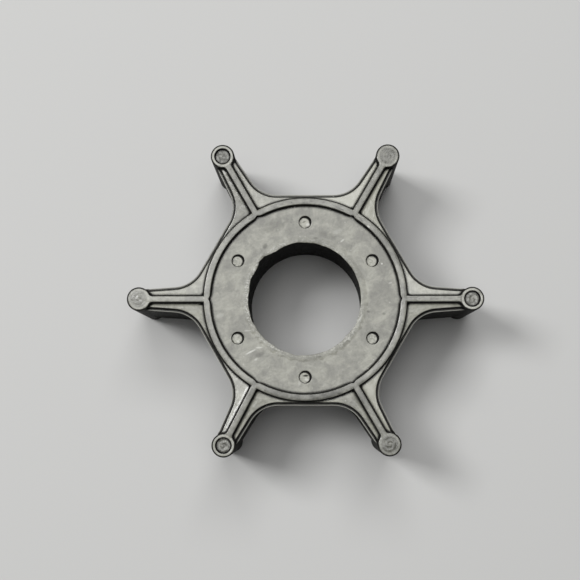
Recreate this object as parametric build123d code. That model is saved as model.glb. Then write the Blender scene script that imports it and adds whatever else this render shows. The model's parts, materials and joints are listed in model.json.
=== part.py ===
"""Flexible impeller for a raw-water pump: one solid moulding in black rubber.

Frame: origin on the bore axis at the underside of the lands, +Z up the bore,
+X along the middle of the first vane.  Lengths in millimetres, angles in degrees.

The moulding is drawn from its outline at the parting line.  Below the line the
hub and vanes run down with a little draft and the beads run down straight.  Above
it the cap half of the mould is smaller, which leaves a narrow ledge along the hub
and the vanes.
Both end faces carry the same raised lands, which seal against the housing: a
ring round the hub, a rib down every vane and the round end of every bead.
"""
from build123d import *
import os
from math import cos, radians, tan

# Set by the pump housing and its shaft
VANES = 6
TIP_D = 57.0            # over opposite beads, before the vanes are bent
HEIGHT = 22.0           # land to land, along the bore
BORE_D = 19.0

# Hub and vanes, at the parting line
HUB_FLAT_R = 16.95      # bore axis to a hub flat
VANE_TIP_T = 3.25       # vane thickness at the middle of its bead
VANE_FLARE = 4.1        # each flank opens towards the hub by this angle
ROOT_R = 5.0            # fillet between flank and hub flat
BEAD_D = 3.8
NECK_R = 0.5            # fillet between flank and bead, above the parting line

# Mould split
STEP_IN = 0.43          # the cap half is smaller by this much
STEP_DOWN = 1.5         # parting line below the upper lands
DRAFT = 0.3             # of hub and vane walls below the parting line

# Lands on both end faces
LAND_H = 0.8            # above webs and hub face
RING_OUT_R = 16.3
RING_IN_R = 15.1
RIB_T = 1.15
RIB_FLARE_R = 0.5       # rib into bead end
LAND_EDGE = 0.15        # flat that eases the edges of the lands
WALL_EDGE = 0.12        # the same, round the webs

# Marks left by the upper mould face
PIN_PITCH_R = 12.43     # ejector pin dimples on the hub face, between vanes
PIN_D = 2.0
PIN_DEPTH = 0.35
CUP_D = 2.6             # sunk bead ends, on every other vane
CUP_DEPTH = 0.45
NICK_W = 1.4            # small vee in the ring's inner wall at every rib
NICK_DEEP = 0.35

# One vane has taken a set from use: it leans about its root
SET_VANE = 4            # counted anticlockwise from the one along +X
SET_LEAN = 2.4

BEAD_R = BEAD_D / 2
BEAD_PITCH_R = TIP_D / 2 - BEAD_R
PITCH = 360 / VANES
PARTING_Z = HEIGHT - STEP_DOWN
WEB_TOP_Z = HEIGHT - LAND_H
WEB_LOW_Z = LAND_H


def each_vane(shape, every=1):
    """Copies of a shape drawn along +X, one on each vane, leaned where the vane leans."""
    root = Pos(HUB_FLAT_R, 0, 0)
    leaned = root * Rot(0, 0, SET_LEAN) * root.inverse() * shape
    return [Rot(0, 0, n * PITCH) * (leaned if n == SET_VANE else shape)
            for n in range(0, VANES, every)]


def corners(plan, low, high):
    """Corners of a plan whose distance from the bore axis lies in a band."""
    return [v for v in plan.vertices() if low < Vector(v.X, v.Y, 0).length < high]


def body_plan(inset):
    """Hub and vanes without beads: a hexagon with a tapered blade at every corner.

    Flats and flanks are moved in by inset, and the root fillets grow by as much.
    """
    flat_r = HUB_FLAT_R - inset
    corner_r = flat_r / cos(radians(PITCH / 2))
    half_tip = VANE_TIP_T / 2 - inset
    half_axis = half_tip + BEAD_PITCH_R * tan(radians(VANE_FLARE))
    blade = make_face(Polyline((0, -half_axis), (BEAD_PITCH_R, -half_tip),
                               (BEAD_PITCH_R, half_tip), (0, half_axis), close=True))
    plan = Sketch() + RegularPolygon(corner_r, VANES) + each_vane(blade)
    return fillet(corners(plan, flat_r, corner_r), ROOT_R + inset)


def with_bead_ends(plan, corner_radius):
    """Add the round bead ends to a plan and fillet the necks where they join it."""
    plan = plan + each_vane(Pos(BEAD_PITCH_R, 0) * Circle(BEAD_R))
    return fillet(corners(plan, BEAD_PITCH_R - BEAD_R, BEAD_PITCH_R), corner_radius)


def land_plan():
    """Ring, ribs and bead ends."""
    mid_ring = (RING_IN_R + RING_OUT_R) / 2
    rib_len = BEAD_PITCH_R - mid_ring
    rib = Pos(mid_ring + rib_len / 2, 0) * Rectangle(rib_len, RIB_T)
    plan = Sketch() + Circle(RING_OUT_R) + each_vane(rib)
    return with_bead_ends(plan, RIB_FLARE_R) - Circle(RING_IN_R)


def eased(solid, z, width):
    """Take the sharpness off every edge that lies in the plane at height z."""
    rim = solid.edges().filter_by_position(Axis.Z, z - 0.001, z + 0.001)
    return chamfer(rim, width)


def lands(low_z, face_z):
    """Raised lands from low_z up, eased where they meet the housing at face_z."""
    solid = extrude(Pos(0, 0, low_z) * land_plan(), amount=LAND_H)
    return eased(solid, face_z, LAND_EDGE)


def peg(radius, x, low_z):
    """Upright peg for sinking a round mark that opens upwards."""
    return extrude(Pos(x, 0, low_z) * Circle(radius), amount=LAND_H)


def hull():
    """Cavity half: hub and vanes from the parting line down, drafted.

    The edge at the parting line stays sharp, as the two mould halves leave it.
    """
    plan = Pos(0, 0, PARTING_Z) * body_plan(0)
    solid = extrude(plan, amount=PARTING_Z - WEB_LOW_Z, dir=(0, 0, -1), taper=DRAFT)
    return eased(solid, WEB_LOW_Z, WALL_EDGE)


def cap():
    """Cap half: from the parting line up to the webs, set in all round."""
    plan = with_bead_ends(body_plan(STEP_IN), NECK_R)
    solid = extrude(Pos(0, 0, PARTING_Z) * plan, amount=WEB_TOP_Z - PARTING_Z)
    return eased(solid, WEB_TOP_Z, WALL_EDGE)


def beads():
    """Beads: straight, without draft, so that each seals over its whole length."""
    plan = Pos(BEAD_PITCH_R, 0, WEB_LOW_Z) * Circle(BEAD_R)
    return each_vane(extrude(plan, amount=WEB_TOP_Z - WEB_LOW_Z))


def pin_marks():
    """Ejector pin dimples in the hub face, midway between vanes."""
    pin = peg(PIN_D / 2, PIN_PITCH_R, WEB_TOP_Z - PIN_DEPTH)
    return [Rot(0, 0, (n + 0.5) * PITCH) * pin for n in range(VANES)]


def ring_nicks():
    """Small vees in the inner wall of the upper ring, in line with the ribs.

    Each is cut with a triangle twice as deep as the nick, so the ring's wall cuts it at half
    its depth, where it is NICK_W wide.
    """
    mouth = RING_IN_R - NICK_DEEP
    vee = make_face(Polyline((mouth, -NICK_W), (mouth, NICK_W),
                             (RING_IN_R + NICK_DEEP, 0), close=True))
    vee = extrude(Pos(0, 0, WEB_TOP_Z) * vee, amount=LAND_H)
    return [Rot(0, 0, n * PITCH) * vee for n in range(VANES)]


impeller = hull() + cap() + beads()
impeller += lands(0, 0)
impeller += lands(WEB_TOP_Z, HEIGHT)
impeller -= extrude(Circle(BORE_D / 2), amount=HEIGHT)
impeller -= pin_marks()
impeller -= each_vane(peg(CUP_D / 2, BEAD_PITCH_R, HEIGHT - CUP_DEPTH), every=2)
impeller -= ring_nicks()

os.makedirs("parts", exist_ok=True)
export_step(impeller.solid(), "parts/impeller.step")
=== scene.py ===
# %% [markdown]
# # A rubber pump impeller, dressed for the camera
#
# The part is one moulding in black rubber: a hub with a hole through it, six slim vanes with a round bead at
# the end of each, and raised lands on both end faces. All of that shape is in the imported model, which this
# script loads first and never moves. What is left for Blender is the skin of the rubber: where it is black
# and where a grey bloom lies on it, how it shines, where it is clouded, speckled or rubbed, and the thin torn
# lip that the mould left round the hole.

# %% Load the frame
import json
import math

import bpy
import numpy as np
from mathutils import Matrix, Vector


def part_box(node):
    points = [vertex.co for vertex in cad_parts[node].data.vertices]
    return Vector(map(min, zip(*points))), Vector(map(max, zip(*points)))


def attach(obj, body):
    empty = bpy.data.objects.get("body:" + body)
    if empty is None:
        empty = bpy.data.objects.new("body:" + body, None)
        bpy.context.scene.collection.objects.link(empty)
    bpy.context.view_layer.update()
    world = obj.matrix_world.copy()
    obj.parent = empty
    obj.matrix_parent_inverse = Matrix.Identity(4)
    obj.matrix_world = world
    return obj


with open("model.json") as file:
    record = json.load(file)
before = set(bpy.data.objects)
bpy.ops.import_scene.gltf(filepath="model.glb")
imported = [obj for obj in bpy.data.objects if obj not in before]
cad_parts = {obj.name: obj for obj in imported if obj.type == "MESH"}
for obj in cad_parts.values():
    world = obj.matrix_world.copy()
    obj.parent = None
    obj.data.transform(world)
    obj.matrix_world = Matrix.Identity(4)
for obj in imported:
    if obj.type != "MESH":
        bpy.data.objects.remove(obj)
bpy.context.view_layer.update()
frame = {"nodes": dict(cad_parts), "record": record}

impeller = frame["nodes"]["impeller"]
print("faces in the moulding:", len(impeller.data.polygons))

# %% [markdown]
# ## Sizes
#
# Blender works in metres, and small rubber parts are easier to think about in millimetres, so `MM` turns one
# into the other. The height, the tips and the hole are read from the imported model. The sizes below them
# repeat where some of its forms lie, for the marks and the wear that go with them.

# %% Sizes
MM = 0.001
_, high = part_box("impeller")
HEIGHT = high.z / MM
TIP_R = high.x / MM
bore = next(m for m in frame["record"]["mounts"] if m["name"] == "bore")["dims"]
BORE_R = bore["r_mm"]
LAND_H = (HEIGHT - bore["length_mm"]) / 2
FACE_Z = HEIGHT - LAND_H          # the hub face, sunk below the lands by their height
BEAD_R = 1.9
BEAD_PITCH_R = TIP_R - BEAD_R     # from the bore axis to the axis of a bead
RING_OUT_R = 16.3                 # outer edge of the raised ring
RING_IN_R = 15.1                  # and its inner edge
PIN_FLOOR_Z = FACE_Z - 0.35       # floor of the dimples that the ejector pins left in the hub face
CUP_FLOOR_Z = HEIGHT - 0.45       # floor of the sunk bead ends, on every other vane
print(f"height {HEIGHT:.1f}, tips {2 * TIP_R:.1f}, bore {2 * BORE_R:.1f}, hub face at {FACE_Z:.1f} mm")

# %% [markdown]
# ## Camera
#
# The camera looks almost straight down from a hand's length above. Its lens is given as a distance in pixels
# of a square frame, and turned into Blender's millimetres by the width of the sensor.

# %% Camera
CAMERA_MM = (1.0, -16.07, 222.93)
CAMERA_TURN = (4.971, 0.974, 0.0)        # degrees about X, Y and Z
FOCAL_PX = 1265.1
FRAME_PX = 580

camera_data = bpy.data.cameras.new("camera")
camera_data.lens = camera_data.sensor_width * FOCAL_PX / FRAME_PX
camera_data.clip_start = 10 * MM
camera = bpy.data.objects.new("camera", camera_data)
camera.location = [v * MM for v in CAMERA_MM]
camera.rotation_euler = [math.radians(v) for v in CAMERA_TURN]
bpy.context.scene.collection.objects.link(camera)
bpy.context.scene.camera = camera
print(f"lens {camera_data.lens:.1f} mm")

# %% [markdown]
# ## Surfaces from arrays
#
# Every new mesh here is a sheet of points worked out as one numpy array. The helper joins the points into
# four-sided faces. A sheet may close on itself in one direction, as a sleeve does, or in both, as a tyre.

# %% Grid to mesh
def grid_mesh(name, points, closed_u=False, closed_v=False):
    """Mesh through an array of points of shape (nu, nv, 3), in metres.

    One face joins the points (i, j), (i + 1, j), (i + 1, j + 1) and (i, j + 1). In a closed direction the
    last row is joined to the first.
    """
    nu, nv, _ = points.shape
    index = np.arange(nu * nv).reshape(nu, nv)
    index = np.concatenate([index, index[:1]], axis=0) if closed_u else index
    index = np.concatenate([index, index[:, :1]], axis=1) if closed_v else index
    faces = np.stack([index[:-1, :-1], index[1:, :-1], index[1:, 1:], index[:-1, 1:]], axis=-1)
    mesh = bpy.data.meshes.new(name)
    mesh.from_pydata(points.reshape(-1, 3), [], faces.reshape(-1, 4))
    mesh.shade_smooth()
    piece = bpy.data.objects.new(name, mesh)
    bpy.context.scene.collection.objects.link(piece)
    print(f"{name}: {len(mesh.polygons)} faces")
    return piece


# %% [markdown]
# ## Nodes without clutter
#
# A material is a web of nodes. `put` adds one node and fills it in: a value goes into the socket, and another
# node's output is wired to it. `new_group` opens a node group, which is how an effect is made once and then
# used in several places, each with its own values. The short helpers after them stand for a few nodes each.

# %% Node helpers
FLOAT = "NodeSocketFloat"
VECTOR = "NodeSocketVector"


def fill(tree, node, inputs):
    """Type values into a node's sockets, or wire other nodes' sockets to them."""
    for name, value in inputs.items():
        if isinstance(value, bpy.types.NodeSocket):
            tree.links.new(value, node.inputs[name])
        else:
            node.inputs[name].default_value = value
    return node


def put(tree, kind, inputs=None, **settings):
    """Add a node. Inputs are values to type in or sockets to wire up, settings are its menus."""
    node = tree.nodes.new(kind)
    for name, value in settings.items():
        setattr(node, name, value)
    return fill(tree, node, inputs or {})


def new_group(name, inputs, outputs):
    """Empty node group with named sockets, and its two end nodes."""
    group = bpy.data.node_groups.new(name, "ShaderNodeTree")
    for label, kind in inputs.items():
        group.interface.new_socket(label, in_out="INPUT", socket_type=kind)
    for label, kind in outputs.items():
        group.interface.new_socket(label, in_out="OUTPUT", socket_type=kind)
    way_in = group.nodes.new("NodeGroupInput").outputs
    way_out = group.nodes.new("NodeGroupOutput").inputs
    return group, way_in, way_out


def use(tree, group, inputs):
    """Place a node group in a material and hand back its outputs."""
    node = tree.nodes.new("ShaderNodeGroup")
    node.node_tree = group
    return fill(tree, node, inputs).outputs


# %% Arithmetic
def maths(tree, operation, a, b=0.0):
    """Output of one Math node."""
    return put(tree, "ShaderNodeMath", {0: a, 1: b}, operation=operation).outputs[0]


def plus(tree, a, b):
    """a + b."""
    return maths(tree, "ADD", a, b)


def minus(tree, a, b):
    """a - b."""
    return maths(tree, "SUBTRACT", a, b)


def times(tree, a, b):
    """a x b."""
    return maths(tree, "MULTIPLY", a, b)


def larger(tree, a, b):
    """The larger of a and b."""
    return maths(tree, "MAXIMUM", a, b)


def less(tree, value, mask, share):
    """Value with a share of it taken away where the mask is 1: value x (1 - share x mask)."""
    return times(tree, value, minus(tree, 1.0, times(tree, mask, share)))


def shares(tree, terms):
    """Sum of values, each times its own share."""
    total = times(tree, *terms[0])
    for term in terms[1:]:
        total = plus(tree, total, times(tree, *term))
    return total


def ease(tree, value, start, full):
    """Smooth step: 0 up to start, 1 from full on, with a soft S between."""
    return put(tree, "ShaderNodeMapRange", {"Value": value, "From Min": start, "From Max": full},
               interpolation_type="SMOOTHSTEP").outputs["Result"]


def near(tree, value, middle, slack):
    """1 where a value is within the slack of the middle, and 0 elsewhere."""
    return put(tree, "ShaderNodeMath", {0: value, 1: middle, 2: slack}, operation="COMPARE").outputs[0]


# %% Vectors, noise and colour
def vectors(tree, operation, a, b=(0, 0, 0)):
    """Output of one Vector Math node: a number for a length or a dot product, and a vector otherwise."""
    outputs = put(tree, "ShaderNodeVectorMath", {0: a, 1: b}, operation=operation).outputs
    return outputs["Value" if operation in ("LENGTH", "DOT_PRODUCT") else "Vector"]


def turned(tree, place, angle, centre=(0, 0, 0)):
    """Place turned about the vertical through a centre, by an angle in radians."""
    return put(tree, "ShaderNodeVectorRotate", {"Vector": place, "Center": centre, "Angle": angle},
               rotation_type="Z_AXIS").outputs["Vector"]


def noise(tree, place, scale, detail):
    """Uneven number about a half, at a place in millimetres. A larger scale gives finer noise."""
    return put(tree, "ShaderNodeTexNoise", {"Vector": place, "Scale": scale, "Detail": detail}).outputs["Fac"]


def blend(tree, share, a, b):
    """Colour a where share is 0 and b where it is 1."""
    return put(tree, "ShaderNodeMix", {"Factor": share, "A": a, "B": b}, data_type="RGBA").outputs["Result"]


# %% [markdown]
# ## Effects as node groups
#
# The grey on moulded rubber follows a few simple masks: it lies on faces that look up or down, partly as
# bloom and partly as painted sheen; it is taken out of corners, which paints their shade; edges get a
# painted highlight just inside them and painted shade where they roll away; and it is cloudy, speckled and
# marked. Each of these is one node group that gives a mask from 0 to 1. The moulding and the torn lip share
# all but the one for edges, so the two meet without a visible join.

# %% Group: end faces
def end_face_group():
    """Mask: 1 where the surface looks up or down the bore, 0 on walls. It is a step of |normal z|."""
    group, way_in, way_out = new_group("end_faces", {"start": FLOAT, "full": FLOAT}, {"face": FLOAT})
    normal = put(group, "ShaderNodeNewGeometry").outputs["True Normal"]
    upright = maths(group, "ABSOLUTE", put(group, "ShaderNodeSeparateXYZ", {0: normal}).outputs["Z"])
    group.links.new(ease(group, upright, way_in["start"], way_in["full"]), way_out["face"])
    return group


# the grey this mask lets onto the end faces is partly bloom and partly painted sheen
end_faces = end_face_group()

# %% Group: crevices
def crevice_group():
    """Mask: 1 on open surface, 0 in a corner. Ambient occlusion counts how much sky is seen within reach."""
    group, way_in, way_out = new_group("crevices", {"reach": FLOAT, "dark": FLOAT, "clear": FLOAT},
                                       {"open": FLOAT})
    sky = put(group, "ShaderNodeAmbientOcclusion", {"Distance": way_in["reach"]}, samples=10)
    group.links.new(ease(group, sky.outputs["AO"], way_in["dark"], way_in["clear"]), way_out["open"])
    return group


# this mask takes the grey out of corners, which is painted shade
crevices = crevice_group()

# %% Group: rounded edges
def edge_group():
    """Mask: 1 along edges.

    A normal rounded over a radius turns away from the true one near an edge, and the mask is a step of
    1 - cosine of the angle between them.
    """
    group, way_in, way_out = new_group("rounded_edges", {"radius": FLOAT, "start": FLOAT, "full": FLOAT},
                                       {"edge": FLOAT})
    rounded = put(group, "ShaderNodeBevel", {"Radius": way_in["radius"]}, samples=8).outputs["Normal"]
    true = put(group, "ShaderNodeNewGeometry").outputs["True Normal"]
    apart = minus(group, 1.0, vectors(group, "DOT_PRODUCT", rounded, true))
    group.links.new(ease(group, apart, way_in["start"], way_in["full"]), way_out["edge"])
    return group


# this mask places the painted highlights and the painted shade along the edges
rounded_edges = edge_group()

# %% Group: clouds
def cloud_group():
    """Mask: soft patches of a given size in millimetres, as steam leaves on a window.

    A short way from start to full gives islands with clear edges, a long one gives haze.
    """
    group, way_in, way_out = new_group("clouds", {"place": VECTOR, "size": FLOAT, "start": FLOAT,
                                                  "full": FLOAT}, {"cloud": FLOAT})
    scale = maths(group, "DIVIDE", 1.0, way_in["size"])
    steam = put(group, "ShaderNodeTexNoise", {"Vector": way_in["place"], "Scale": scale, "Detail": 5.0,
                                              "Roughness": 0.6, "Distortion": 0.5}).outputs["Fac"]
    group.links.new(ease(group, steam, way_in["start"], way_in["full"]), way_out["cloud"])
    return group


clouds = cloud_group()


def cloud(tree, place, look):
    """Mask of clouds at a place. Its look is a dictionary of size, start and full."""
    return use(tree, clouds, {"place": place, **look})["cloud"]


# %% Group: specks
def speck_group():
    """Mask: small round specks.

    Space is cut into cells of a given spacing, a share of the cells is chosen by their random colour, and a
    chosen cell has a speck of a given radius at its middle.
    """
    group, way_in, way_out = new_group("specks", {"place": VECTOR, "spacing": FLOAT, "radius": FLOAT,
                                                  "share": FLOAT}, {"speck": FLOAT})
    scale = maths(group, "DIVIDE", 1.0, way_in["spacing"])
    cells = put(group, "ShaderNodeTexVoronoi", {"Vector": way_in["place"], "Scale": scale}).outputs
    reach = maths(group, "DIVIDE", way_in["radius"], way_in["spacing"])
    dot = ease(group, cells["Distance"], reach, times(group, reach, 0.4))
    red = put(group, "ShaderNodeSeparateColor", {0: cells["Color"]}).outputs[0]
    chosen = maths(group, "LESS_THAN", red, way_in["share"])
    group.links.new(times(group, dot, chosen), way_out["speck"])
    return group


specks = speck_group()

# %% Group: one mark
MARK_RIM = (1.25, 0.45)    # a mark begins and is full this far out, where 1 is the oval's rim


def mark_group():
    """Mask: one ragged oval at a place in millimetres, with half sizes and a turn about Z.

    The way from the centre is turned back, divided by the half sizes and measured: 1 is the oval's rim. Fray,
    an uneven number about zero, is added to that length and makes the rim ragged.
    """
    group, way_in, way_out = new_group("mark", {"place": VECTOR, "centre": VECTOR, "half_sizes": VECTOR,
                                                "turn": FLOAT, "fray": FLOAT}, {"mark": FLOAT})
    away = vectors(group, "SUBTRACT", way_in["place"], way_in["centre"])
    back = turned(group, away, times(group, way_in["turn"], -1.0))
    length = vectors(group, "LENGTH", vectors(group, "DIVIDE", back, way_in["half_sizes"]))
    group.links.new(ease(group, plus(group, length, way_in["fray"]), *MARK_RIM), way_out["mark"])
    return group


mark = mark_group()

# %% [markdown]
# ## Marks of use
#
# Some three dozen small marks make this impeller one impeller and not a drawing of it: scuffs where a tool
# slipped, smudges, stains. They are lists of ovals, light ones and dark ones, each with its place, its half
# sizes, its turn and its strength. Most are on the hub face, and some on the lands, on a web, in the dimples
# and in a sunk bead end. Those in the dimples are painted light and shade: the light ones lie on the south
# parts of their floors, and the dark ones are painted shadow.

# %% Marks of use
# x, y, z, half length, half width in mm, turn in degrees, strength
LIGHT_MARKS = [
    (-8.75, -8.45, FACE_Z, 0.95, 0.17, 27, 0.9),
    (-7.35, -7.75, FACE_Z, 0.55, 0.15, 5, 0.8),
    (-7.85, -9.60, FACE_Z, 0.35, 0.18, 40, 0.6),
    (-9.20, -5.05, FACE_Z, 0.55, 0.16, 0, 0.5),
    (-13.60, -2.60, FACE_Z, 0.60, 0.45, 30, 0.3),
    (5.98, 9.43, FACE_Z, 0.40, 0.14, 40, 0.7),
    (5.10, 10.90, FACE_Z, 0.80, 0.45, 10, 0.25),
    # painted light on the south part of a dimple's floor
    (10.60, 5.69, FACE_Z, 0.22, 0.20, 0, 0.5),
    (12.28, 5.68, FACE_Z, 0.16, 0.16, 0, 0.9),
    (13.60, 2.60, FACE_Z, 0.35, 0.16, 20, 0.4),
    (8.72, -3.20, FACE_Z, 0.85, 0.16, 58, 0.9),
    (7.60, -5.20, FACE_Z, 0.40, 0.14, 65, 0.6),
    (6.95, -6.35, FACE_Z, 0.35, 0.20, -35, 0.9),
    (-0.80, -13.10, FACE_Z, 0.9, 0.25, 70, 0.3),
    (10.14, 11.56, HEIGHT, 0.30, 0.22, -45, 0.9),
    # the next three are painted light on the south parts of dimples' floors
    (0.45, 12.05, PIN_FLOOR_Z, 0.32, 0.30, 0, 0.9),
    (-10.75, -6.75, PIN_FLOOR_Z, 0.30, 0.26, 0, 0.7),
    (0.25, -12.85, PIN_FLOOR_Z, 0.40, 0.20, 0, 0.8),
]
DARK_MARKS = [
    (-6.46, 8.53, FACE_Z, 0.50, 0.38, 60, 0.45),
    (-7.20, -8.80, FACE_Z, 1.00, 0.40, 25, 0.25),
    (-5.20, 11.60, FACE_Z, 2.20, 1.10, 15, 0.16),
    (3.60, 10.30, FACE_Z, 1.60, 0.60, -15, 0.20),
    (6.60, 8.20, FACE_Z, 1.30, 0.50, 15, 0.18),
    (1.70, 9.85, FACE_Z, 0.35, 0.20, 0, 0.35),
    (10.05, -2.02, FACE_Z, 0.26, 0.20, 0, 0.5),
    (12.60, -2.35, FACE_Z, 0.26, 0.20, 0, 0.4),
    (2.35, -9.17, FACE_Z, 0.30, 0.18, 0, 0.4),
    (6.30, -7.20, FACE_Z, 1.50, 0.35, 40, 0.22),
    # the next three are painted shadow inside dimples
    (0.05, -12.22, PIN_FLOOR_Z, 0.55, 0.17, 6, 1.0),
    (-10.80, 6.60, FACE_Z, 0.30, 0.12, -20, 0.6),
    (-0.20, 12.50, FACE_Z, 0.40, 0.16, 20, 0.7),
    (-16.70, -0.85, FACE_Z, 0.48, 0.12, 0, 1.0),
    (-10.97, 10.23, HEIGHT, 0.30, 0.22, 137, 1.0),
    (-5.88, 15.31, HEIGHT, 0.22, 0.16, 111, 0.9),
    (-13.30, 23.04, CUP_FLOOR_Z, 1.30, 1.20, 0, 0.30),
]
RAGGED = 0.9               # how uneven the rims of the marks are
MARK_HALF_DEPTH = 0.5      # how far a mark reaches up and down, so that it stays on its own end face


def marks_mask(tree, place, rows):
    """Strongest of a list of marks at each point."""
    fray = times(tree, minus(tree, noise(tree, place, scale=2.2, detail=4.0), 0.5), RAGGED)
    together = 0.0
    for x, y, z, half_length, half_width, turn, strength in rows:
        one = use(tree, mark, {"place": place, "centre": (x, y, z), "turn": math.radians(turn), "fray": fray,
                               "half_sizes": (half_length, half_width, MARK_HALF_DEPTH)})["mark"]
        together = larger(tree, times(tree, one, strength), together)
    return together


print(f"marks: {len(LIGHT_MARKS)} light, {len(DARK_MARKS)} dark")

# %% [markdown]
# ## The torn lip
#
# The hole is closed by a skin of rubber when the part leaves the mould, and the skin is torn or punched out.
# A ragged rim of it stays round the upper end of the hole. It is far too thin and uneven to draw in the
# model, so it is made here: a closed profile, a thin wedge, is carried once round the bore axis, and its
# inner end moves in and out with the tear.

# %% The torn edge
LIP_MEAN_R = 9.03
LIP_SHIFT = 0.15           # the torn hole sits off centre by this much
LIP_SHIFT_TO = 145.0       # direction of the shift, degrees
LIP_TEETH = 0.16 / 3       # height of the small teeth, in mm for waves of height 1
# direction in degrees, half width in degrees, depth in mm: + is a bite outwards
TEARS = [
    (137, 6.5, 0.42), (121, 5.0, -0.16), (159, 4.0, 0.12), (172, 3.0, -0.10), (201, 5.0, 0.10),
    (236, 4.5, -0.08), (262, 6.0, 0.08), (318, 5.0, -0.12), (333, 4.0, 0.14), (98, 7.0, 0.08),
]


def waves(theta, lowest, highest, fade, seed):
    """Uneven line round a circle: a sum of cosines of n theta, n from lowest to highest.

    The height of each falls as 1 / n ** fade, and its phase is drawn at random from the seed.
    """
    n = np.arange(lowest, highest + 1)
    phase = np.random.default_rng(seed).uniform(0, 2 * np.pi, n.size)
    return np.sum(np.cos(np.outer(theta, n) + phase) / n ** fade, axis=1)


def tear_radius(theta):
    """Radius of the torn edge: a shifted circle, plus a bell-shaped step for each tear, plus small teeth."""
    radius = LIP_MEAN_R + LIP_SHIFT * np.cos(theta - math.radians(LIP_SHIFT_TO))
    for direction, half_width, depth in TEARS:
        away = np.angle(np.exp(1j * (theta - math.radians(direction))))
        radius = radius + depth * np.exp(-(away / math.radians(half_width)) ** 2)
    return radius + LIP_TEETH * waves(theta, lowest=14, highest=90, fade=0.9, seed=5)


# %% Torn lip
LIP_OUT_R = 10.5           # where the skin sinks into the hub face
LIP_UNEVEN = 0.12          # unevenness of that rim, in mm for waves of height 1
LIP_RISE = 0.035           # height of the skin above the hub face
LIP_SINK = 0.05            # depth of its outer rim below the hub face
LIP_RIPPLE = 0.04          # its ripples, likewise
LIP_THICK = 0.16
LIP_TIP = (0.25, 0.2)      # share of that left at the torn edge, and share of the width that is thinner
LIP_DROOP = 0.10           # the torn edge hangs down by up to this much
DROOP_W = 0.35             # over this share of the skin's width
CROWDING = 1.3             # the rows of points crowd towards the torn edge by this power


def torn_lip(around=1080, across=16):
    """Thin wedge of skin carried round the bore axis.

    s runs from 0 at the torn edge to 1 at the outer rim. The top is the hub face plus a low swelling that
    sinks just under the face at the rim, less the droop, which grows as the square of the way into the last
    stretch before the edge, plus ripples of s (1 - s). The underside lies one thickness lower, and the skin
    is thinnest where it tore.
    """
    theta = np.linspace(0, 2 * np.pi, around, endpoint=False)
    inner = tear_radius(theta)[:, None]
    outer = LIP_OUT_R + LIP_UNEVEN * waves(theta, lowest=3, highest=20, fade=1.0, seed=8)[:, None]
    limp = np.clip(0.5 + 0.25 * waves(theta, lowest=5, highest=24, fade=0.8, seed=11), 0, 1)[:, None]
    ripple = LIP_RIPPLE * waves(theta, lowest=20, highest=70, fade=0.5, seed=3)[:, None]
    theta = theta[:, None]
    s = np.linspace(0, 1, across)[None, :] ** CROWDING

    radius = inner + (outer - inner) * s
    droop = LIP_DROOP * limp * np.clip(1 - s / DROOP_W, 0, 1) ** 2
    top = FACE_Z + LIP_RISE - (LIP_RISE + LIP_SINK) * s ** 2 - droop + ripple * s * (1 - s)
    tip, tip_w = LIP_TIP
    under = top - LIP_THICK * (tip + (1 - tip) * np.clip(s / tip_w, 0, 1))
    radius = np.concatenate([radius, radius[:, ::-1]], axis=1)
    z = np.concatenate([top, under[:, ::-1]], axis=1)
    points = np.stack([radius * np.cos(theta), radius * np.sin(theta), z], axis=-1) * MM
    return grid_mesh("torn_lip", points, closed_u=True, closed_v=True)


lip = torn_lip()
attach(lip, "root")

# %% [markdown]
# ## The bloomed skin
#
# Black rubber that has lain in a store grows a dry grey bloom, wax and dust that come to its surface. Under
# it the rubber is nearly black. So the colour is a blend from black to grey, and the share of grey is a
# product of masks: end faces only, where the grey is partly bloom and partly painted sheen; none in
# corners, which paints their shade; a little less on the lands; next to none under the dark marks. How
# cloudy the grey is, is a sum of haze, mottle and wipes. The same share drives the coat, because the bloom
# has a soft sheen of its own. `bloomed_skin` works all of that out for both materials.

# %% Places on the part
def in_millimetres(tree):
    """Place on the object, in millimetres."""
    place = put(tree, "ShaderNodeTexCoord").outputs["Object"]
    return put(tree, "ShaderNodeVectorMath", {0: place, "Scale": 1 / MM}, operation="SCALE").outputs[0]


def plan_radius(tree, place):
    """Distance from the bore axis: the length of the place with its height struck out."""
    return vectors(tree, "LENGTH", vectors(tree, "MULTIPLY", place, (1, 1, 0)))


def from_middle(tree, place):
    """Height above or below the middle of the part, always positive, so both ends look alike."""
    z = put(tree, "ShaderNodeSeparateXYZ", {0: place}).outputs["Z"]
    return maths(tree, "ABSOLUTE", minus(tree, z, HEIGHT / 2))


def towards(tree, place, direction, spread):
    """Mask: 1 in one direction from the bore axis, falling to 0 at the spread on both sides, in degrees.

    A place in plan over its own length is the cosine and sine of its direction. Its dot product with the
    unit vector of the wanted direction is the cosine of the angle between the two.
    """
    unit = (math.cos(math.radians(direction)), math.sin(math.radians(direction)), 0)
    reach = vectors(tree, "DOT_PRODUCT", place, unit)
    cosine = maths(tree, "DIVIDE", reach, plan_radius(tree, place))
    return ease(tree, cosine, math.cos(math.radians(spread)), math.cos(math.radians(spread / 3)))


def strongest(tree, place, sides):
    """Strongest of several such masks, each times its strength."""
    most = 0.0
    for direction, spread, strength in sides:
        most = larger(tree, most, times(tree, towards(tree, place, direction, spread), strength))
    return most


# %% Looks of the bloom
BLACK = (0.009, 0.009, 0.009, 1)
# the greys are partly the bloom's own colour and partly painted sheen on the end faces
THIN_GREY = (0.150, 0.149, 0.124, 1)
THICK_GREY = (0.355, 0.353, 0.295, 1)
# pale dust, and also the colour of the painted highlights inside the edges
DUST_AND_HIGHLIGHT = (0.52, 0.52, 0.47, 1)

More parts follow.
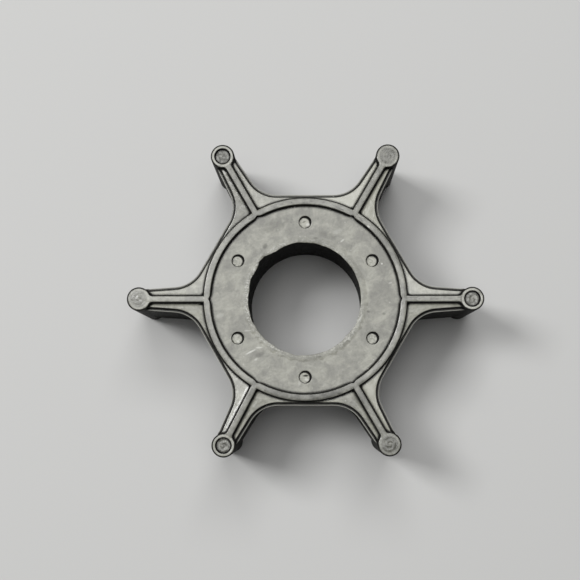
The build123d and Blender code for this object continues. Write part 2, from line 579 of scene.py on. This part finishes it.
END_FACE = {"start": 0.66, "full": 0.97}
CREVICE = {"reach": 0.6 * MM, "dark": 0.63, "clear": 0.88}
HAZE = {"size": 2.3, "start": 0.34, "full": 0.66}
MOTTLE = {"size": 0.5, "start": 0.33, "full": 0.67}
WIPES = {"size": 0.7, "start": 0.36, "full": 0.64}
WIPE_TO = math.radians(28) # a cloth has wiped the ends in this direction, from +X
WIPE_STRETCH = (0.35, 1, 1)    # so the wipes are about three times as long as wide
DUST_SPECKS = {"spacing": 0.9, "radius": 0.16, "share": 0.16}
PITS = {"spacing": 0.75, "radius": 0.15, "share": 0.20}

LAND_STEP = (0.3, 0.1)     # the lands begin and are full this far below their top
WITNESS_R = 10.4           # the skin over the hole was bounded by a circle of this radius, still just visible
WITNESS_SOFT = 0.15        # half the width of that circle's edge
LAND_BARE = 0.12           # share of the bloom missing all over the lands
PIT_BARE = 0.5             # and in the lands' small pits
DARK_MARK_BARE = 0.9           # and under the dark marks, stains and painted shadows alike
SPECK_DUST = 0.35          # strength of the specks of dust
RELIEF_MM = 0.05           # height of the fine relief


def bloomed_skin(tree, place):
    """What both materials share: the bloom's amount, how cloudy it is, its dust and painted highlights,
    and its fine relief.

    The masks of end faces, open surface, lands, and stains with painted shadows are handed back with them.
    """
    face = use(tree, end_faces, END_FACE)["face"]
    clear = use(tree, crevices, CREVICE)["open"]
    haze = cloud(tree, place, HAZE)
    mottle = cloud(tree, place, MOTTLE)
    along_wipe = vectors(tree, "MULTIPLY", turned(tree, place, -WIPE_TO), WIPE_STRETCH)
    wipes = cloud(tree, along_wipe, WIPES)
    land = ease(tree, from_middle(tree, place), *(HEIGHT / 2 - step for step in LAND_STEP))
    pale_share = use(tree, specks, {"place": place, **DUST_SPECKS})["speck"]
    pits = use(tree, specks, {"place": place, **PITS})["speck"]
    scuffs_and_lit_spots = marks_mask(tree, place, LIGHT_MARKS)
    stains_and_shadows = marks_mask(tree, place, DARK_MARKS)
    inside = ease(tree, plan_radius(tree, place), WITNESS_R + WITNESS_SOFT, WITNESS_R - WITNESS_SOFT)

    # grey only on end faces, partly painted sheen, and none in corners, which is painted shade
    amount = times(tree, face, clear)
    amount = less(tree, amount, land, LAND_BARE)
    amount = less(tree, amount, times(tree, land, pits), PIT_BARE)
    amount = less(tree, amount, stains_and_shadows, DARK_MARK_BARE)
    thick = shares(tree, [(haze, 0.40), (mottle, 0.18), (times(tree, wipes, haze), 0.30), (inside, 0.10)])
    dust_and_highlights = times(tree, larger(tree, times(tree, pale_share, SPECK_DUST), scuffs_and_lit_spots), face)
    grain = noise(tree, place, scale=3.2, detail=4.0)
    relief = shares(tree, [(grain, 0.35), (mottle, 0.35), (scuffs_and_lit_spots, 0.6), (stains_and_shadows, -0.5)])
    return {"amount": amount, "thick": thick, "dust_and_highlights": dust_and_highlights, "relief": relief, "face": face, "clear": clear,
            "land": land, "stains_and_shadows": stains_and_shadows}


def bloom_colour(tree, skin):
    """Black rubber, then grey bloom and painted sheen over it, then pale dust and painted highlights."""
    grey = blend(tree, skin["thick"], THIN_GREY, THICK_GREY)
    return blend(tree, skin["dust_and_highlights"], blend(tree, skin["amount"], BLACK, grey), DUST_AND_HIGHLIGHT)


# %% A new material and its sheen
COAT_IOR = 1.65


def new_material(name):
    """Material with its node tree and its shader."""
    material = bpy.data.materials.new(name)
    material.use_nodes = True
    return material, material.node_tree, material.node_tree.nodes["Principled BSDF"]


def set_sheen(shader, coat_roughness):
    """Constants of the sheen. All of it comes from the coat, so the base below has no mirror of its own."""
    shader.inputs["Coat Roughness"].default_value = coat_roughness
    shader.inputs["Coat IOR"].default_value = COAT_IOR
    shader.inputs["Specular IOR Level"].default_value = 0.0


# %% [markdown]
# ## One vane serves all six
#
# Much of what follows belongs to one kind of place: a bead end, a dimple, a rib or a web. They come in
# sixes, so a place is first folded onto the nearest vane. Then it is easy to say how far it lies from that
# vane's middle line, or from the middle of its bead.

# %% The nearest vane
VANES = 6
VANE_PITCH = 2 * math.pi / VANES
LEANING = 4                # one vane leans, the fourth on from the one along +X
LEAN = math.radians(2.4)   # by this much
LEAN_R = 16.95             # about the point where its middle line leaves the hub
LEVEL_SLACK = 0.06         # a place is at a height if it is within this


def stood_up(tree, place):
    """Place as it would be if the leaning vane stood straight.

    Past the vane's root, the place is turned back about the root.
    """
    way = (math.cos(LEANING * VANE_PITCH), math.sin(LEANING * VANE_PITCH), 0)
    past = maths(tree, "GREATER_THAN", vectors(tree, "DOT_PRODUCT", place, way), LEAN_R)
    straight = turned(tree, place, -LEAN, centre=tuple(LEAN_R * v for v in way))
    return put(tree, "ShaderNodeMix", {"Factor": past, "A": place, "B": straight},
               data_type="VECTOR").outputs["Result"]


def on_nearest(tree, place, first=0.0):
    """Distance along and aside of the nearest of six spokes, in millimetres from the bore axis.

    The spokes are the vanes' middle lines, or lines turned from them by first, in radians. The direction
    round the bore is folded into one pitch about the nearest spoke, by taking away the whole number of
    pitches in it. Along is the radius times the cosine of what is left, aside is the radius times its sine.
    """
    parts = put(tree, "ShaderNodeSeparateXYZ", {0: place}).outputs
    angle = minus(tree, maths(tree, "ARCTAN2", parts["Y"], parts["X"]), first)
    whole = maths(tree, "ROUND", maths(tree, "DIVIDE", angle, VANE_PITCH))
    folded = minus(tree, angle, times(tree, whole, VANE_PITCH))
    radius = plan_radius(tree, place)
    along = times(tree, radius, maths(tree, "COSINE", folded))
    aside = times(tree, radius, maths(tree, "SINE", folded))
    return along, aside


def from_point(tree, along, aside, pitch_r):
    """Distance and direction from the point of a spoke that lies pitch_r from the bore axis."""
    past = minus(tree, along, pitch_r)
    away = put(tree, "ShaderNodeCombineXYZ", {"X": past, "Y": aside}).outputs[0]
    return vectors(tree, "LENGTH", away), maths(tree, "ARCTAN2", aside, past)


def at_height(tree, place, height):
    """1 at one height above the underside of the part, and 0 elsewhere."""
    z = put(tree, "ShaderNodeSeparateXYZ", {0: place}).outputs["Z"]
    return near(tree, z, height, LEVEL_SLACK)


# %% [markdown]
# ## Black rubber
#
# The moulding gets the bloomed skin and what belongs to single places on it. Its edges are not sharp, so a
# Bevel node rounds the shading over a quarter of a millimetre without touching the mesh. The lands are
# slightly crowned and rubbed in streaks, with painted light on their side towards the key and painted
# shade on some others. The webs fall away from their ribs and are painted lighter in some directions
# and darker in others, as light and shade. The ledge at the parting line and the round recesses get
# painted shade. The flow of rubber in the mould left a faint whorl on every bead end. The tall walls carry
# a thin film of bloom and fine upright draw lines from the mould's opening.

# %% Whorls on the bead ends
WHORL_R = 1.45             # a whorl fades out at this radius
WHORL_STEP = 0.70          # from one turn of the spiral to the next
WHORL_H = 0.2              # height in units of the relief


def bead_whorls(tree, rho, alpha):
    """Height of the whorls: sin(2 pi rho / step + alpha) round each bead's middle, faded out at the rim."""
    turns = times(tree, rho, 2 * math.pi / WHORL_STEP)
    wave = maths(tree, "SINE", plus(tree, turns, alpha))
    return times(tree, times(tree, wave, ease(tree, rho, WHORL_R, 0.5 * WHORL_R)), WHORL_H)


# %% Painted shade in the round recesses
PIN_PITCH_R = 12.43        # from the bore axis to the middle of an ejector pin's dimple
PIN_UNSHADED_R = 0.72         # inside this radius a dimple's floor gets no painted shade
PIN_OFF = (0.14, 0.12, 0)  # floors outside the painted shade lie off centre, towards minus this
CUP_UNSHADED_R = 1.02         # the same radius in a sunk bead end
RECESS_SHADE_W = 0.16             # painted shade, from unshaded to black


def recess_shade(tree, place, rho):
    """Mask: 1 on the ring of painted shade at the foot of the dimples' and the sunk bead ends' walls.

    The dimples' unshaded floors lie a little off centre, so the painted shadow is wider on one side.
    """
    shifted = vectors(tree, "ADD", place, PIN_OFF)
    pin_rho, _ = from_point(tree, *on_nearest(tree, shifted, VANE_PITCH / 2), PIN_PITCH_R)
    pin_ring = times(tree, ease(tree, pin_rho, PIN_UNSHADED_R, PIN_UNSHADED_R + RECESS_SHADE_W),
                     at_height(tree, place, PIN_FLOOR_Z))
    cup_ring = times(tree, ease(tree, rho, CUP_UNSHADED_R, CUP_UNSHADED_R + RECESS_SHADE_W),
                     at_height(tree, place, CUP_FLOOR_Z))
    return larger(tree, pin_ring, cup_ring)


# %% Crown, rub and painted light and shade of the lands
RING_MID_R = (RING_IN_R + RING_OUT_R) / 2
RING_HALF = (RING_OUT_R - RING_IN_R) / 2
RIB_HALF = 0.575
CROWN = 0.8                # fall of the lands from their middle to their edge, in units of the relief
STREAKS = {"size": 0.8, "start": 0.46, "full": 0.74}
STREAK_ALONG = 0.6         # scale of the streaks along the lands
STREAK_ACROSS = 1.1        # and across them, in units of the way out
LIT_LANDS = (185, 65)       # direction and spread in degrees of the side painted lighter, towards the key
LIT_LANDS_SHARE = 0.7
# direction and spread in degrees, strength of darker stretches: partly rub, partly painted shade
DARK_LAND_SIDES = [
    (272, 34, 0.95), (38, 20, 0.55), (92, 14, 0.5), (240, 7, 0.5), (301, 8, 0.5), (61, 6, 0.45),
    (119, 6, 0.35), (330, 9, 0.3),
]
LEAST_DARK_SIDE = 0.45           # a darker stretch has at least this share of its strength, and the rest comes and goes
UNEVEN_DARK_SIDE = (0.30, 0.60)  # between these values of the noise


def way_across(tree, place, aside, rho):
    """How far out across a land a place is: 0 on its middle line and 1 at its edge.

    Ring, ribs and bead ends each have a middle of their own, and the nearest of them counts.
    """
    ring = maths(tree, "ABSOLUTE", minus(tree, plan_radius(tree, place), RING_MID_R))
    rib = maths(tree, "DIVIDE", maths(tree, "ABSOLUTE", aside), RIB_HALF)
    nearest = maths(tree, "MINIMUM", maths(tree, "DIVIDE", ring, RING_HALF), rib)
    return maths(tree, "MINIMUM", nearest, maths(tree, "DIVIDE", rho, BEAD_R))


def land_crown(tree, land, out):
    """Height of the lands: minus the crown times the square of the way out."""
    return times(tree, times(tree, times(tree, out, out), land), -CROWN)


def land_rubs_and_shade(tree, place, land, out):
    """Mask of the rubbed streaks: noise that changes slowly along a land and quickly across it.

    The noise is looked up at the place in plan, shrunk, with the way out as its third coordinate. On the
    side towards the key the streaks are weaker, which paints that side lighter. In the darker stretches the
    streaks run together: the mask there is at least their strength, which is uneven and falls away on both
    sides of their direction. These stretches are partly rub and partly painted shade.
    """
    plan = vectors(tree, "MULTIPLY", place, (STREAK_ALONG, STREAK_ALONG, 0.0))
    across = put(tree, "ShaderNodeCombineXYZ", {"Z": times(tree, out, STREAK_ACROSS)}).outputs[0]
    streaks = cloud(tree, vectors(tree, "ADD", plan, across), STREAKS)
    streaks = less(tree, streaks, towards(tree, place, *LIT_LANDS), LIT_LANDS_SHARE)
    uneven = ease(tree, noise(tree, place, scale=1.1, detail=3.0), *UNEVEN_DARK_SIDE)
    uneven = plus(tree, LEAST_DARK_SIDE, times(tree, uneven, 1 - LEAST_DARK_SIDE))
    dark_sides = times(tree, strongest(tree, place, DARK_LAND_SIDES), uneven)
    return times(tree, larger(tree, streaks, dark_sides), land)


# %% Fall of the webs
RIB_FOOT = 0.6             # from a rib's middle to where the web starts
WEB_FALL = math.radians(5.5)   # angle at which the webs fall away from their rib
FOOT_W = 0.6               # the webs curve up to the rib over this width
FOOT_H = 0.05              # by this height
WEB_SLACK = 0.1            # a web is within this of the hub face's height, and this soft at the ring


def on_web(tree, place):
    """1 on the webs, which lie outside the ring, lower than the lands and higher than everything else."""
    level = near(tree, from_middle(tree, place), FACE_Z - HEIGHT / 2, WEB_SLACK)
    return times(tree, level, ease(tree, plan_radius(tree, place), RING_OUT_R - WEB_SLACK, RING_OUT_R))


def web_fall(tree, web, aside):
    """Height of the webs in units of the relief: minus the way out from the rib's foot times tan(fall).

    Close to the rib the web curves up by FOOT_H x (1 - way out / FOOT_W) squared.
    """
    out = larger(tree, minus(tree, maths(tree, "ABSOLUTE", aside), RIB_FOOT), 0.0)
    drop = times(tree, out, -math.tan(WEB_FALL) / RELIEF_MM)
    foot = larger(tree, minus(tree, 1.0, maths(tree, "DIVIDE", out, FOOT_W)), 0.0)
    rise = times(tree, times(tree, foot, foot), FOOT_H / RELIEF_MM)
    return times(tree, plus(tree, drop, rise), web)


# %% Bead ends and dimples
PATCHES = {"size": 0.6, "start": 0.40, "full": 0.60}
LUMPS = {"size": 0.34, "start": 0.42, "full": 0.58}
DULL_STEP = (0.3, 0.8)     # a bead end turns dull between these ways in from its edge
DULL_MIDDLE = 0.5          # how dull a plain bead end is, where a sunk one is 1
PATCH_BARE = 0.5           # share of the bloom missing in the patches of the dullest parts
DULL_THIN = 0.7            # and share of its clouds
RIM_MID_R = 1.50           # the rims of the bead ends are paler, between rounded edge and sunk end
RIM_HALF = 0.18
RIM_BLOOM = 1.0            # the rims are this much more clouded
RIM_DUST = 0.25
# direction and spread in degrees, strength: fully on vanes with a sunk bead end, faintly on the rest
RIMS = [(60 * n, 15, 0.25 if n % 2 else 1.0) for n in range(VANES)]
PIN_AMOUNT = (0.50, 0.45)  # bloom on a dimple's clean floor, and how much more on its lumps
PIN_BLOOM = (0.2, 0.8)     # how much more clouded the floor is, and its lumps


def dress_bead_ends(tree, place, skin, rho):
    """Dull the middles of the bead ends in patches, and cloud the rims."""
    middle = ease(tree, rho, *(BEAD_R - step for step in DULL_STEP))
    dull = larger(tree, at_height(tree, place, CUP_FLOOR_Z), times(tree, middle, DULL_MIDDLE))
    patches = times(tree, dull, cloud(tree, place, PATCHES))
    skin["amount"] = less(tree, skin["amount"], patches, PATCH_BARE)
    skin["thick"] = less(tree, skin["thick"], dull, DULL_THIN)
    rim = times(tree, near(tree, rho, RIM_MID_R, RIM_HALF), strongest(tree, place, RIMS))
    skin["thick"] = plus(tree, skin["thick"], times(tree, rim, RIM_BLOOM))
    skin["dust_and_highlights"] = larger(tree, skin["dust_and_highlights"], times(tree, rim, RIM_DUST))


def dress_dimples(tree, place, skin, recess_shadow):
    """Put lumpy bloom on the dimples' floors outside their painted shade, but next to none under the dark
    marks.
    """
    unshaded_floor = less(tree, at_height(tree, place, PIN_FLOOR_Z), recess_shadow, 1.0)
    lumps = cloud(tree, place, LUMPS)
    amount = plus(tree, PIN_AMOUNT[0], times(tree, lumps, PIN_AMOUNT[1]))
    amount = less(tree, amount, skin["stains_and_shadows"], DARK_MARK_BARE)
    skin["amount"] = larger(tree, skin["amount"], times(tree, unshaded_floor, amount))
    added_grey = plus(tree, PIN_BLOOM[0], times(tree, lumps, PIN_BLOOM[1]))
    skin["thick"] = plus(tree, skin["thick"], times(tree, unshaded_floor, added_grey))


# %% Edges and ledge
EDGE_R = 0.25              # radius that the edges look rounded to
HIGHLIGHT_BAND = {"radius": EDGE_R * MM, "start": 0.008, "full": 0.06}
SHADE_BAND = {"radius": EDGE_R * MM, "start": 0.06, "full": 0.16}
EDGE_SHADE_SHARE = 0.85          # painted shade: share of the grey taken away where an edge rolls away
EDGE_HIGHLIGHT = 0.62           # painted highlight just inside an edge
LEDGE_HIGHLIGHT = 0.38          # and this much more on the ledge
PARTING_Z = HEIGHT - 1.5   # height of the ledge where the two halves of the mould met
LEDGE_SHADE = 0.65         # painted shade: share of the grey taken away on the ledge
LESS_SHADED_LEDGE = (120, 75)    # direction and spread in degrees of the ledge's less shaded side
LESS_SHADE = 0.4              # by this share
BORDER_STEP = (0.34, 0.18) # bead ends' painted shade border begins and is full this far in from their edge
BORDER_FADE = 0.1          # and fades over this width past the edge
BORDER_END = (1.2, 0.8)    # it ends towards the rib, this far in from the bead's middle


def dress_edges(tree, place, skin, along, rho):
    """Paint a highlight on the end faces just inside every edge, and paint shade where the edge rolls away.

    The ledge gets painted shade, so only its outer edge stays pale. The bead ends have a wider border of
    painted shade, which is open towards the rib.
    """
    ledge = at_height(tree, place, PARTING_Z)
    shaded_ledge = less(tree, ledge, towards(tree, place, *LESS_SHADED_LEDGE), LESS_SHADE)
    skin["amount"] = less(tree, skin["amount"], shaded_ledge, LEDGE_SHADE)
    edge_shade = less(tree, use(tree, rounded_edges, SHADE_BAND)["edge"], shaded_ledge, 1.0)
    border_shade = ease(tree, rho, *(BEAD_R - step for step in BORDER_STEP))
    border_shade = times(tree, border_shade, ease(tree, rho, BEAD_R + BORDER_FADE, BEAD_R))
    border_shade = times(tree, border_shade, ease(tree, along, *(BEAD_PITCH_R - step for step in BORDER_END)))
    edge_shade = larger(tree, edge_shade, border_shade)
    skin["amount"] = less(tree, skin["amount"], edge_shade, EDGE_SHADE_SHARE)
    edge = times(tree, times(tree, use(tree, rounded_edges, HIGHLIGHT_BAND)["edge"], skin["clear"]), skin["face"])
    edge = less(tree, edge, edge_shade, 1.0)
    pale_share = plus(tree, EDGE_HIGHLIGHT, times(tree, ledge, LEDGE_HIGHLIGHT))
    skin["dust_and_highlights"] = larger(tree, skin["dust_and_highlights"], times(tree, edge, pale_share))


# %% Webs and walls
WEB_GREY = 0.18           # the webs are this much more clouded than the rest
# direction and spread in degrees, strength: webs painted lighter as light, and darker as shade
LIT_WEBS = [(60, 26, 0.8), (307, 11, 0.6), (6, 9, 0.3), (184, 7, 0.2)]
SHADED_WEBS = [(127, 11, 0.25), (293, 8, 0.12)]
RUNS = {"size": 2.4, "start": 0.36, "full": 0.70}
RUN_STRETCH = (1, 1, 0.3)  # the film on the walls runs down them
LEAST_FILM = 0.35          # it keeps this share of its strength between the runs
WALL_FILM = 0.09           # bloom on the walls where the film is thickest
LINE_STRETCH = (5, 5, 0.25)    # the draw lines are fine across a wall and long down it
LINE_H = 1.5


def dress_webs(tree, place, skin, web):
    """Cloud the webs, and paint them lighter in some directions and darker in two, as light and shade."""
    added_grey = plus(tree, WEB_GREY, strongest(tree, place, LIT_WEBS))
    skin["thick"] = plus(tree, skin["thick"], times(tree, web, added_grey))
    skin["amount"] = less(tree, skin["amount"], times(tree, web, strongest(tree, place, SHADED_WEBS)), 1.0)


def dress_walls(tree, place, skin, wall):
    """Leave a thin film of bloom on the walls, thicker in soft upright runs."""
    runs = cloud(tree, vectors(tree, "MULTIPLY", place, RUN_STRETCH), RUNS)
    film = times(tree, wall, plus(tree, LEAST_FILM, times(tree, runs, 1 - LEAST_FILM)))
    skin["amount"] = larger(tree, skin["amount"], times(tree, film, WALL_FILM))


def draw_lines(tree, place, wall):
    """Height of the fine upright lines on the walls, in units of the relief."""
    lines = noise(tree, vectors(tree, "MULTIPLY", place, LINE_STRETCH), scale=1.0, detail=3.0)
    return times(tree, times(tree, lines, wall), LINE_H)


# %% Black rubber
RECESS_SHADE_SHARE = 0.95          # painted shade: share of the grey taken away in the recesses
LAND_RUB_AND_SHADE = 0.52            # share of the grey taken away in the lands' streaks: partly rub, partly painted shade
HUB_STEP = 0.1             # the hub face begins this softly inside the ring
HUB_SHEEN = 0.60           # share of the coat that the hub face keeps, where the bloom is driest
WALL_SHEEN = 0.14          # share of the coat that the bare walls have
BARE_ROUGH = 0.72          # roughness of bare rubber
BLOOM_SMOOTHS = 0.22       # and how much less it is under full bloom
WAVE = 0.9                 # waviness that the sheen shows, in units of the relief


def relief_normal(tree, height, **smooth):
    """Normal of the fine relief, from its height in units of RELIEF_MM."""
    return put(tree, "ShaderNodeBump", {"Strength": 1.0, "Distance": RELIEF_MM * MM, "Height": height,
                                        **smooth}).outputs["Normal"]


def black_rubber():
    """Material of the moulding."""
    material, tree, shader = new_material("black_rubber")
    place = in_millimetres(tree)
    skin = bloomed_skin(tree, place)
    along, aside = on_nearest(tree, stood_up(tree, place))
    rho, alpha = from_point(tree, along, aside, BEAD_PITCH_R)
    out = way_across(tree, place, aside, rho)
    recess_shadow = recess_shade(tree, place, rho)
    web = on_web(tree, place)
    wall = minus(tree, 1.0, skin["face"])
    hub = ease(tree, plan_radius(tree, place), RING_IN_R + HUB_STEP, RING_IN_R - HUB_STEP)

    # painted shade at the foot of the recesses' walls
    skin["amount"] = less(tree, skin["amount"], recess_shadow, RECESS_SHADE_SHARE)
    # lands: rubbed streaks, painted light on the side towards the key, painted shade on some others
    skin["amount"] = less(tree, skin["amount"], land_rubs_and_shade(tree, place, skin["land"], out), LAND_RUB_AND_SHADE)
    dress_bead_ends(tree, place, skin, rho)
    dress_dimples(tree, place, skin, recess_shadow)
    # painted highlights inside the edges and painted shade where they roll away
    dress_edges(tree, place, skin, along, rho)
    # webs painted lighter and darker by direction, as light and shade
    dress_webs(tree, place, skin, web)
    dress_walls(tree, place, skin, wall)

    sheen = less(tree, skin["amount"], hub, 1 - HUB_SHEEN)
    sheen = larger(tree, sheen, times(tree, wall, WALL_SHEEN))
    rough = minus(tree, BARE_ROUGH, times(tree, skin["amount"], BLOOM_SMOOTHS))
    tree.links.new(bloom_colour(tree, skin), shader.inputs["Base Color"])
    tree.links.new(sheen, shader.inputs["Coat Weight"])
    tree.links.new(rough, shader.inputs["Roughness"])

    rounded = put(tree, "ShaderNodeBevel", {"Radius": EDGE_R * MM}, samples=8).outputs["Normal"]
    form = plus(tree, bead_whorls(tree, rho, alpha), land_crown(tree, skin["land"], out))
    form = plus(tree, form, web_fall(tree, web, aside))
    fine = plus(tree, form, plus(tree, skin["relief"], draw_lines(tree, place, wall)))
    tree.links.new(relief_normal(tree, fine, Normal=rounded), shader.inputs["Normal"])
    wavy = plus(tree, form, times(tree, noise(tree, place, scale=0.8, detail=3.0), WAVE))
    tree.links.new(relief_normal(tree, wavy, Normal=rounded), shader.inputs["Coat Normal"])
    set_sheen(shader, coat_roughness=0.22)
    return material


for slot in impeller.material_slots:
    slot.material = black_rubber()
print("moulding: black rubber")

# %% [markdown]
# ## Torn skin
#
# The lip is the same rubber, but its edge was stretched until it gave way. Stretched rubber turns pale and
# rough, so this material adds a pale fray close to the edge, and coarser grain. The Bevel node is left out,
# because on so thin a wedge it would shade the whole lip as one edge.

# %% Torn skin
FIBRES = {"size": 0.30, "start": 0.46, "full": 0.56}
FRAY_STEP = (0.95, 0.35)   # the fray begins and is full this far out from the hole's mean radius
LEAST_FRAY = 0.2           # its strength away from the hard tears
LIP_SHEEN = 0.6            # share of the coat that the torn skin keeps
# direction and spread in degrees, strength
HARD_TEARS = [(170, 48, 0.95), (322, 40, 0.65), (118, 16, 0.65), (60, 18, 0.55), (232, 26, 0.60)]


def torn_skin():
    """Material of the lip. Its fray is measured from the torn hole's own middle."""
    material, tree, shader = new_material("torn_skin")
    place = in_millimetres(tree)
    skin = bloomed_skin(tree, place)
    shift_to = math.radians(LIP_SHIFT_TO)
    hole = (LIP_SHIFT * math.cos(shift_to), LIP_SHIFT * math.sin(shift_to), 0)
    hole_r = plan_radius(tree, vectors(tree, "SUBTRACT", place, hole))
    near_edge = ease(tree, hole_r, *(LIP_MEAN_R + step for step in FRAY_STEP))
    fibres = times(tree, near_edge, cloud(tree, place, FIBRES))
    strength = larger(tree, strongest(tree, place, HARD_TEARS), LEAST_FRAY)
    fray = times(tree, times(tree, fibres, skin["face"]), strength)
    skin["dust_and_highlights"] = larger(tree, skin["dust_and_highlights"], fray)

    tree.links.new(bloom_colour(tree, skin), shader.inputs["Base Color"])
    tree.links.new(times(tree, skin["amount"], LIP_SHEEN), shader.inputs["Coat Weight"])
    tree.links.new(relief_normal(tree, plus(tree, skin["relief"], fibres)), shader.inputs["Normal"])
    shader.inputs["Roughness"].default_value = 0.55
    set_sheen(shader, coat_roughness=0.30)
    return material


lip.data.materials.append(torn_skin())
print("lip: torn skin")

# %% [markdown]
# ## Floor
#
# A pale, dull floor shows the outline and takes the shadows. It is a flat sheet, far larger than the view
# from above.

# %% Floor
FLOOR_HALF = 1.2           # metres
u = np.linspace(-FLOOR_HALF, FLOOR_HALF, 9)
floor_x, floor_y = np.meshgrid(u, u, indexing="ij")
floor = grid_mesh("floor", np.stack([floor_x, floor_y, np.zeros_like(floor_x)], axis=-1))
floor_paint, _, floor_shader = new_material("floor_paint")
floor_shader.inputs["Base Color"].default_value = (0.62, 0.62, 0.61, 1)
floor_shader.inputs["Roughness"].default_value = 0.9
floor_shader.inputs["Specular IOR Level"].default_value = 0.2
floor.data.materials.append(floor_paint)

# %% [markdown]
# ## Light
#
# Dark rubber is seen mostly by what it mirrors, so the lights are placed for their reflections. The key
# stands to the left and casts the shadows to the lower right. A window beyond the far side of the part
# brightens every edge that looks towards it and lets the others fall dark, which draws the ribs and the
# rings. A wide panel overhead lies where the end faces mirror it and gives them their even sheen.

# %% Light
WORLD_LIGHT = 0.05
# name, place in metres, width and length in metres, watts
SOFTBOXES = [
    ("key", (-0.34, 0.15, 0.68), (0.16, 0.26), 2.8),
    ("window", (0.03, 0.44, 0.76), (0.40, 0.24), 1.9),
    ("overhead", (-0.01, 0.10, 0.87), (0.40, 0.40), 2.4),
]
bpy.context.scene.view_settings.view_transform = "Standard"
world = bpy.data.worlds.new("studio")
bpy.context.scene.world = world
world.use_nodes = True
world.node_tree.nodes["Background"].inputs["Color"].default_value = (1, 1, 1, 1)
world.node_tree.nodes["Background"].inputs["Strength"].default_value = WORLD_LIGHT


def softbox(name, place, size, power):
    """Area light at a place in metres, turned to face the hub, its long side along Y."""
    lamp = bpy.data.lights.new(name, "AREA")
    lamp.shape = "RECTANGLE"
    lamp.size, lamp.size_y = size
    lamp.energy = power
    box = bpy.data.objects.new(name, lamp)
    box.location = place
    aim = Vector((0, 0, HEIGHT * MM)) - Vector(place)
    box.rotation_euler = aim.to_track_quat("-Z", "Y").to_euler()
    bpy.context.scene.collection.objects.link(box)
    tilt = math.degrees(aim.angle(Vector((0, 0, -1))))
    print(f"{name}: {aim.length:.2f} m away, {tilt:.0f} degrees off upright")


for name, place, size, power in SOFTBOXES:
    softbox(name, place, size, power)
